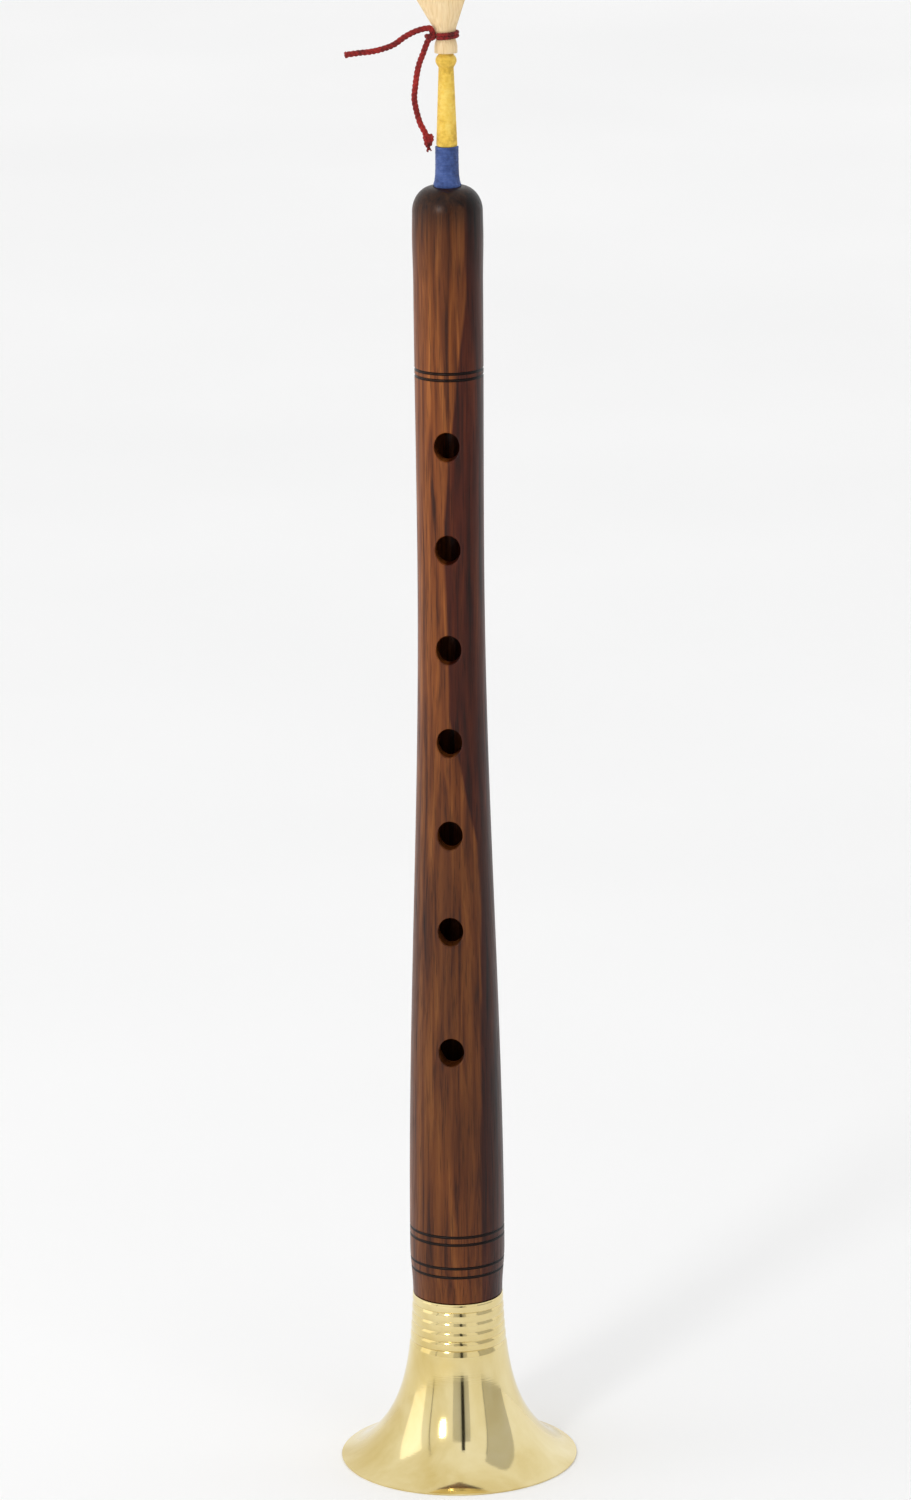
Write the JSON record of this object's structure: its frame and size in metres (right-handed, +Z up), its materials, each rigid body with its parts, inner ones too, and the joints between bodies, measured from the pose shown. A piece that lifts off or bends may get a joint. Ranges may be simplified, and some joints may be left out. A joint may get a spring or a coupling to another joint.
{
  "type": "shehnai",
  "caption": "Shehnai: conical wooden pipe with finger holes, flared brass bell, thread-wound staple and a fan-shaped cane reed tied with a knotted cord.",
  "frame": {"origin": "centre of the bell's mouth, on the plane that the instrument stands on", "axes": "+Z up the pipe's axis towards the reed, -Y out of the finger holes, +X to the right of someone who faces the finger holes"},
  "size_m": [0.078, 0.078, 0.4905],
  "materials": {
    "rosewood": "oiled and polished, with darker streaks",
    "brass": "polished pale brass",
    "yellow_thread": "tightly wound cotton thread",
    "blue_thread": "tightly wound cotton thread",
    "packing_thread": "waxed cotton thread",
    "cane": "dry cane, matt",
    "red_cord": "twisted cotton cord"
  },
  "bodies": {
    "bell": {"bell": "brass"},
    "pipe": {"pipe": "rosewood", "bell_lapping": "packing_thread"},
    "staple": {"staple": "brass", "blue_winding": "blue_thread", "yellow_winding": "yellow_thread"},
    "reed_tie": {"cord_loop": "red_cord", "cord_knot": "red_cord", "cord_tail_side": "red_cord", "cord_tail_hanging": "red_cord", "cord_end_knot": "red_cord"},
    "front_lip": {"reed_leaf_front_inner": "cane", "reed_leaf_front_outer": "cane"},
    "rear_lip": {"reed_leaf_rear_inner": "cane", "reed_leaf_rear_outer": "cane"}
  },
  "joints": [
    {"name": "pipe_pull", "type": "slide", "parent": "bell", "child": "pipe", "axis": [0, 0, 1], "range_m": [0, 0.03]},
    {"name": "staple_pull", "type": "slide", "parent": "pipe", "child": "staple", "axis": [0, 0, 1], "range_m": [0, 0.02]},
    {"name": "reed_pull", "type": "slide", "parent": "staple", "child": "reed_tie", "axis": [0, 0, 1], "range_m": [0, 0.012]},
    {"name": "front_lip_close", "type": "hinge", "parent": "reed_tie", "child": "front_lip", "pos_m": [0, -0.00229, 0.4753], "axis": [-1, 0, 0], "range_deg": [0, 1.5], "stiffness_Nm_per_rad": 0.05},
    {"name": "rear_lip_close", "type": "hinge", "parent": "reed_tie", "child": "rear_lip", "pos_m": [0, 0.00229, 0.4753], "axis": [1, 0, 0], "range_deg": [0, 1.5], "stiffness_Nm_per_rad": 0.05}
  ],
  "couplings": [
    {"joint": "rear_lip_close", "follows": "front_lip_close", "ratio": 1}
  ]
}
